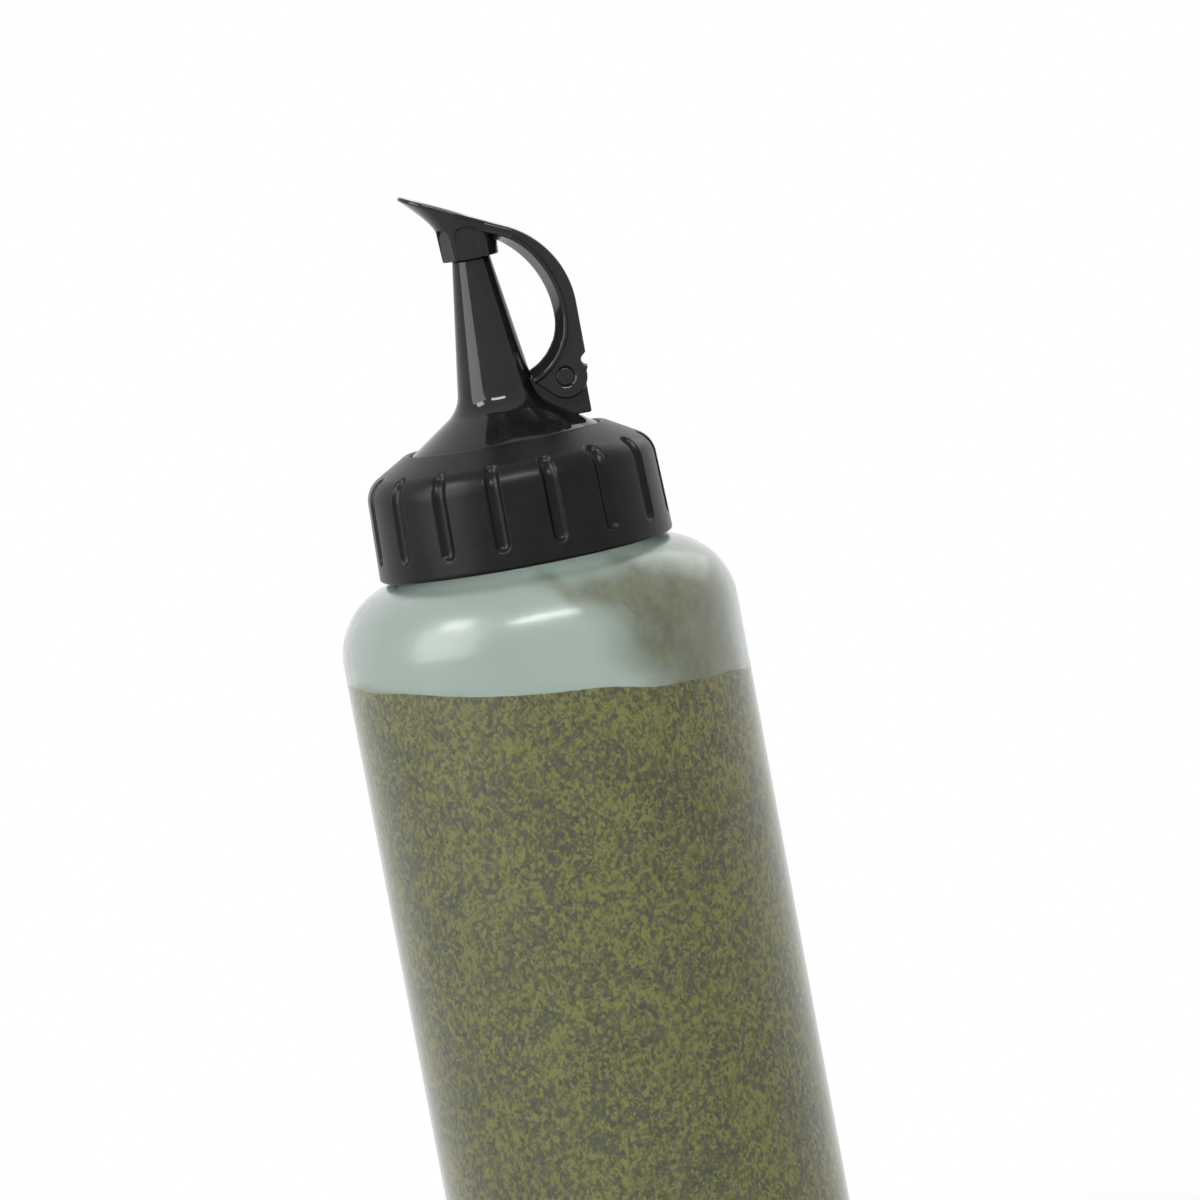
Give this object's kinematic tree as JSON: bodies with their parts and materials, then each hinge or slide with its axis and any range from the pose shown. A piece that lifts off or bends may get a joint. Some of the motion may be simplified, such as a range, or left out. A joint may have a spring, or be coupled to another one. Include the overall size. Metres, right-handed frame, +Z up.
{
  "type": "condiment squeeze bottle",
  "caption": "Round translucent squeeze bottle of sauce with a grooved screw collar, a tall tapered nozzle and a hinged flip lever whose cup closes the nozzle's tip.",
  "frame": {"origin": "middle of the base, on the plane that the bottle stands on", "axes": "+Z up along the bottle's axis, +X towards the lever's hinge, so the thumb pad points to -X and the lever swings in the XZ plane"},
  "size_m": [0.07, 0.07, 0.2195],
  "materials": {
    "bottle_plastic": "soft satin, milky and translucent",
    "sauce": "wet, olive green with darker flecks",
    "seal_rubber": "matte",
    "collar_plastic": "satin",
    "nozzle_plastic": "gloss",
    "lever_plastic": "gloss"
  },
  "bodies": {
    "bottle": {"bottle": "bottle_plastic", "sauce_fill": "sauce"},
    "nozzle": {"nozzle": "nozzle_plastic", "neck_seal": "seal_rubber", "hinge_pin": "nozzle_plastic"},
    "collar": {"screw_collar": "collar_plastic"},
    "lever": {"flip_lever": "lever_plastic", "tip_seal": "seal_rubber"}
  },
  "joints": [
    {"name": "cap_lift", "type": "slide", "parent": "bottle", "child": "nozzle", "axis": [0, 0, 1], "range_m": [0, 0.00635]},
    {"name": "collar_turn", "type": "hinge", "parent": "nozzle", "child": "collar", "pos_m": [0, 0, 0.164], "axis": [0, 0, 1], "range_deg": [0, 540]},
    {"name": "lever_flip", "type": "hinge", "parent": "nozzle", "child": "lever", "pos_m": [0.0124, 0, 0.1836], "axis": [0, 1, 0], "range_deg": [0, 115]}
  ],
  "couplings": [
    {"joint": "cap_lift", "follows": "collar_turn", "m_per_rad": 0.00067323}
  ]
}
